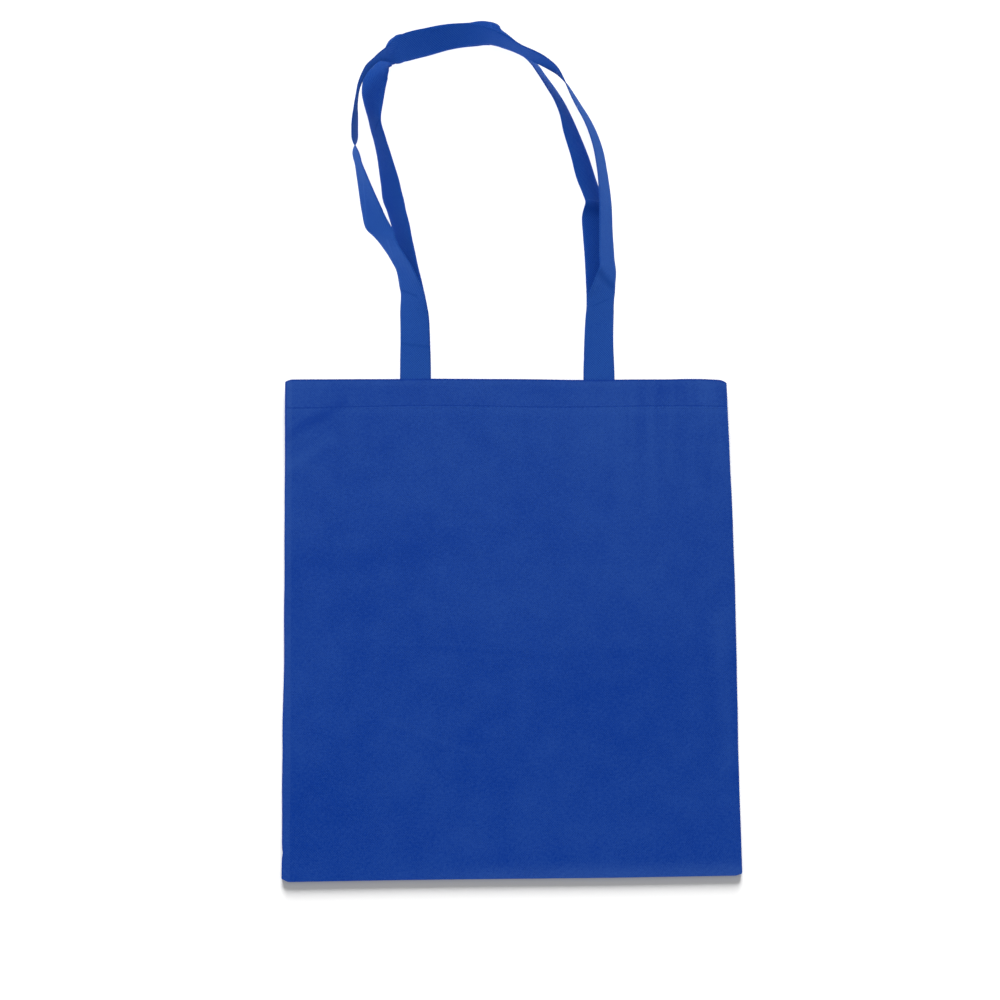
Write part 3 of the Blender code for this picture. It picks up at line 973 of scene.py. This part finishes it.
class SHOPBAG_OT_stitches(Operator):
    """Sew the two hems and the two side seams"""
    bl_idname = "shopbag.stitches"
    bl_label = "Stitches"

    def execute(self, context):
        bag, _, stitch, look, _ = settings(context)
        sheet = Sheet(bag, stitch)
        tree = stitch_tree(thread_material(look))
        sizes = {"Length": stitch.length, "Pitch": stitch.pitch, "Thread": stitch.thread,
                 "Across": (1.0, 0.0, 0.0), "Seed": stitch.seed}
        reach = bag.width / 2 - 2.5 * MM
        front, back = [], []
        for x in np.linspace(-reach, reach, SEAM_POINTS):
            y = sheet.seam_at(x)
            new_x, new_y = sheet.softened(x, y)
            front.append((new_x, new_y, sheet.front_height(x, y) + 0.02 * MM))
            under = max(0.55 * stitch.thread, sheet.back_height(x, y) - 0.02 * MM)
            back.append((new_x, new_y, under))
        hems = sew(context, "hem_stitches", [front, back], tree, sizes)
        sides = []
        for side in (-1, 1):
            line = []
            for y in np.linspace(sheet.bottom_y + 6 * MM, sheet.mouth - 3 * MM, SEAM_POINTS):
                x, new_y = sheet.softened(side * (bag.width / 2 - 0.15 * MM), y)
                height = (sheet.front_height(x, y) + sheet.back_height(x, y)) / 2
                line.append((x - side * 0.25 * MM, new_y, height))
            sides.append(line)
        sizes.update({"Length": SIDE_STITCH, "Across": (0.0, 0.25, 1.0)})
        seams = sew(context, "side_seam_stitches", sides, tree, sizes)
        for piece in (hems, seams):
            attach(piece, "root")
        return {"FINISHED"}


def soft_light(context, name, place, aim, size, power):
    """A wide soft light aimed at a point."""
    data = bpy.data.lights.new(name, "AREA")
    data.shape = "RECTANGLE"
    data.size, data.size_y = size
    data.energy = power
    data.use_shadow = False
    light = linked(context, name, data)
    light.location = place
    light.rotation_euler = (Vector(aim) - Vector(place)).to_track_quat("-Z", "Y").to_euler()
    return light


def collected(name, pieces):
    """A collection, outside the scene, that light linking uses."""
    group = bpy.data.collections.new(name)
    for piece in pieces:
        group.objects.link(piece)
    return group


def white_for_eye(board, plain, white):
    """plain for the light's own rays, white for what the camera and clear reflections see."""
    camera, glossy, through = [board.add("ShaderNodeLightPath", out=f"Is {ray} Ray")
                               for ray in ("Camera", "Glossy", "Transmission")]
    return board.mixed(board.largest(board.largest(camera, glossy), through), plain, white)


class SHOPBAG_OT_stage(Operator):
    """Set the floor, the sky, the soft lights and the camera"""
    bl_idname = "shopbag.stage"
    bl_label = "Stage"

    def execute(self, context):
        look = context.scene.stage_look
        self.lay_floor(context, look)
        self.light_sky(context, look)
        self.wash_floor(context, look)
        bag = [context.scene.objects[name] for name in BAG_PIECES]
        lights = [soft_light(context, "key_light", *KEY_LIGHT, look.key)]
        for x, y, share in SIDE_LIGHTS:
            place, power = (x, y, SIDE_LIGHT_HEIGHT), look.side * share
            lights.append(soft_light(context, "side_light", place, SIDE_LIGHT_AIM,
                                     SIDE_LIGHT_SIZE, power))
        reached = collected("lit_by_the_key", bag)
        for light in lights:
            light.light_linking.receiver_collection = reached
        data = bpy.data.cameras.new("camera")
        data.sensor_fit = "HORIZONTAL"
        data.angle = look.lens_angle
        camera = linked(context, "camera", data)
        camera.location = CAMERA_PLACE
        camera.rotation_euler = [math.radians(turn) for turn in CAMERA_TURN]
        context.scene.camera = camera
        context.scene.view_settings.view_transform = "Standard"
        return {"FINISHED"}

    def wash_floor(self, context, look):
        """Light for the floor alone. It slants from the handles, so the bag throws a shadow."""
        data = bpy.data.lights.new("floor_wash", "SUN")
        data.energy, data.angle = look.wash, WASH_SPREAD
        light = linked(context, "floor_wash", data)
        light.rotation_euler = (-WASH_TILT, 0.0, 0.0)
        light.light_linking.receiver_collection = collected(
            "lit_by_the_wash", [context.scene.objects["studio_floor"]])
        light.light_linking.blocker_collection = collected(
            "throws_the_wash_shadow", [context.scene.objects["bag_fabric_body"]])

    def lay_floor(self, context, look):
        corners = [(x * FLOOR_REACH, y * FLOOR_REACH, -FLOOR_DROP)
                   for x, y in ((-1, -1), (1, -1), (1, 1), (-1, 1))]
        floor = put_in_scene(context, "studio_floor", corners, [(0, 1, 2, 3)])
        material, board = new_material("floor_paint")
        glow = white_for_eye(board, (0, 0, 0, 1), (look.glow, look.glow, look.glow, 1))
        board.surface({"Base Color": (look.floor, look.floor, look.floor, 1), "Roughness": 1.0,
                       "Specular IOR Level": 0.0, "Emission Color": glow, "Emission Strength": 1.0})
        floor.data.materials.append(material)
        floor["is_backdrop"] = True

    def light_sky(self, context, look):
        world = context.scene.world or bpy.data.worlds.new("sky")
        context.scene.world = world
        world.use_nodes = True
        board = Board(world.node_tree)
        plain = (look.sky, look.sky, look.sky, 1)
        colour_seen = white_for_eye(board, plain, (1, 1, 1, 1))
        sky = board.add("ShaderNodeBackground", {"Color": colour_seen, "Strength": 1.0})
        board.add("ShaderNodeOutputWorld", {"Surface": sky})


class SHOPBAG_PT_panel(Panel):
    """Lists the bag's sizes, colours and building steps"""
    bl_idname = "SHOPBAG_PT_panel"
    bl_label = "Shopping Bag"
    bl_space_type = "VIEW_3D"
    bl_region_type = "UI"
    bl_category = "Shopping Bag"

    def draw(self, context):
        layout = self.layout
        for group, owner in zip(GROUPS, settings(context)):
            box = layout.box()
            for name in group.__annotations__:
                box.prop(owner, name)
        for operator in STEPS:
            layout.operator(operator.bl_idname)


GROUPS = (BagSizes, HandleSizes, StitchSizes, FabricLook, StageLook)
GROUP_NAMES = ("bag_sizes", "handle_sizes", "stitch_sizes", "fabric_look", "stage_look")
STEPS = (SHOPBAG_OT_body, SHOPBAG_OT_handles, SHOPBAG_OT_stitches, SHOPBAG_OT_stage)


def register():
    for kind in GROUPS + STEPS + (SHOPBAG_PT_panel,):
        bpy.utils.register_class(kind)
    for name, group in zip(GROUP_NAMES, GROUPS):
        setattr(bpy.types.Scene, name, PointerProperty(type=group))


def unregister():
    for name in GROUP_NAMES:
        delattr(bpy.types.Scene, name)
    for kind in reversed(GROUPS + STEPS + (SHOPBAG_PT_panel,)):
        bpy.utils.unregister_class(kind)


def main():
    register()
    bpy.ops.shopbag.body()
    bpy.ops.shopbag.handles()
    bpy.ops.shopbag.stitches()
    bpy.ops.shopbag.stage()
    boxes = {"cad": CAD_BOX, "visual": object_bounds()}
    plain = {name: [[float(value) for value in corner] for corner in box]
             for name, box in boxes.items()}


if __name__ == "__main__":
    main()
